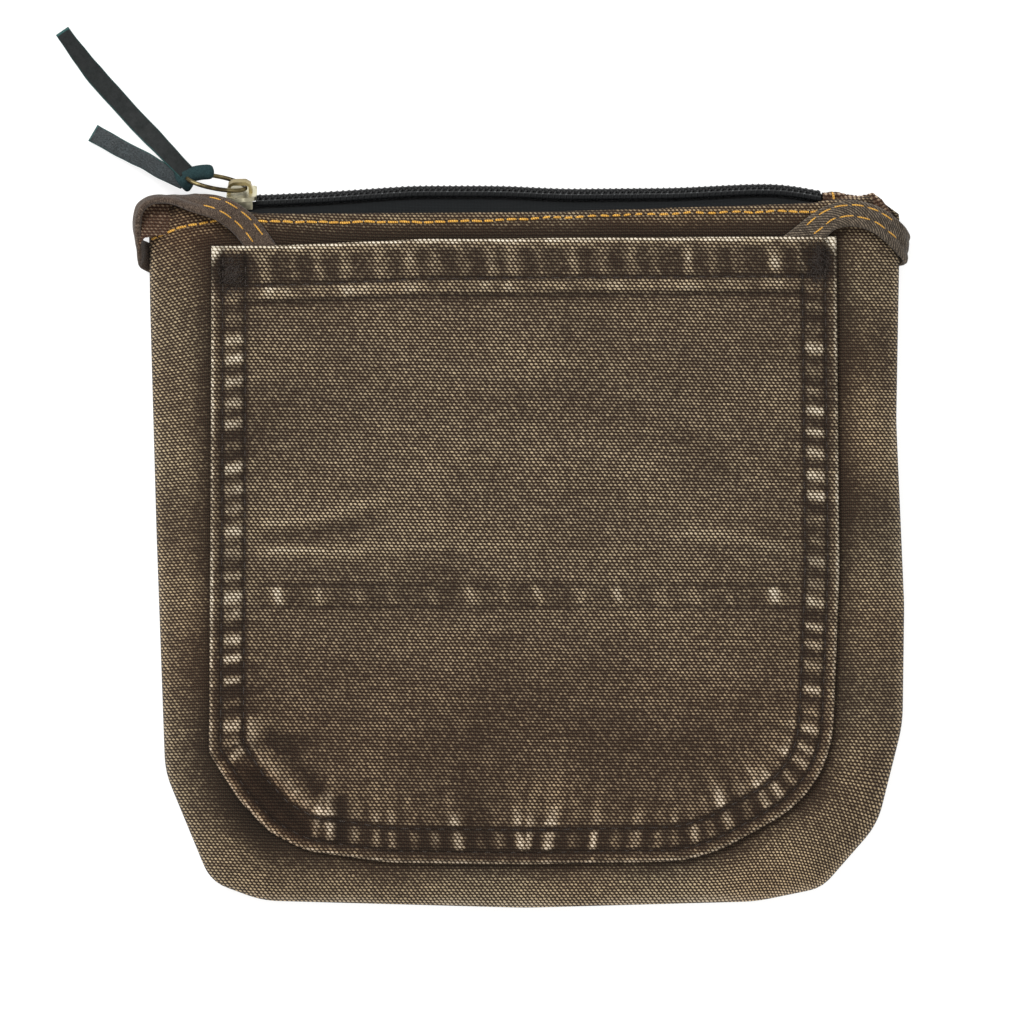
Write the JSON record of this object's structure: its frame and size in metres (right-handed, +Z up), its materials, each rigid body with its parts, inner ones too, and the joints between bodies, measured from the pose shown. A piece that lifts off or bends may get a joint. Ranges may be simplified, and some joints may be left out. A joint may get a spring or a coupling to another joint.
{
  "type": "zippered pouch",
  "caption": "Flat zippered pouch in brown duck canvas with a patch pocket, belt loops over its top corners and a leather zip pull.",
  "frame": {"origin": "on the resting face of the back panel, at the middle of the bag's width and height", "axes": "+X right and +Y towards the zip as seen from the front, +Z up through the thickness, from the back panel to the pocket"},
  "size_m": [0.2152, 0.2218, 0.0162],
  "materials": {
    "canvas": "plain-weave cotton duck, brown with pale thread crowns, washed",
    "pocket_canvas": "plain-weave cotton duck, redder brown, worn pale along its edges",
    "lining": "thin plain cotton",
    "brown_thread": "matt brown sewing thread",
    "gold_thread": "golden yellow topstitching thread",
    "zip_nylon": "black nylon coil with a slight gloss",
    "zip_tape": "black woven polyester tape",
    "antique_brass": "dark antique brass, rubbed bright on its edges",
    "leather": "near-black green leather, suede on its flesh side, teal on its cut edges"
  },
  "bodies": {
    "pouch": {"front_panel": "canvas", "back_panel": "canvas", "lining_front": "lining", "lining_back": "lining", "patch_pocket": "pocket_canvas", "pocket_stitch_outer": "brown_thread", "pocket_stitch_inner": "brown_thread", "pocket_hem_stitch": "brown_thread", "topstitch_front": "gold_thread", "bar_tacks": "brown_thread", "left_loop": "canvas", "right_loop": "canvas", "zipper_coil_back": "zip_nylon", "zipper_tape_back": "zip_tape", "zipper_tape_front_sewn": "zip_tape", "zipper_tape_back_sewn": "zip_tape", "zip_end_tab_left": "canvas", "zip_end_tab_right": "canvas"},
    "zip_front_half": {"zipper_coil_front": "zip_nylon", "zipper_tape_front": "zip_tape"},
    "slider": {"slider_body": "antique_brass", "slider_bridge": "antique_brass"},
    "ring": {"pull_ring": "antique_brass", "pull_hitch": "leather"},
    "leather_pull": {"pull_tail_long": "leather", "pull_tail_short": "leather"}
  },
  "joints": [
    {"name": "slider_travel", "type": "slide", "parent": "pouch", "child": "slider", "axis": [0.9999, 0.0157, 0], "range_m": [0, 0.136], "deforming": ["zipper_coil_back", "zipper_tape_back"]},
    {"name": "zip_front_opens", "type": "hinge", "parent": "pouch", "child": "zip_front_half", "pos_m": [0, 0.0851, 0.0102], "axis": [-0.9999, -0.0157, 0], "range_deg": [0, 35], "deforming": ["zipper_coil_front", "zipper_tape_front"]},
    {"name": "ring_swing", "type": "hinge", "parent": "slider", "child": "ring", "pos_m": [-0.07009, 0.09048, 0.00784], "axis": [0.0066, -0.4226, 0.9063], "range_deg": [-105, 0]},
    {"name": "leather_swing", "type": "hinge", "parent": "ring", "child": "leather_pull", "pos_m": [-0.0862, 0.0942, 0.0091], "axis": [0, 0, -1], "range_deg": [-15, 35], "deforming": ["pull_tail_long", "pull_tail_short"]}
  ],
  "couplings": [
    {"joint": "zip_front_opens", "follows": "slider_travel", "rad_per_m": 4.49}
  ]
}
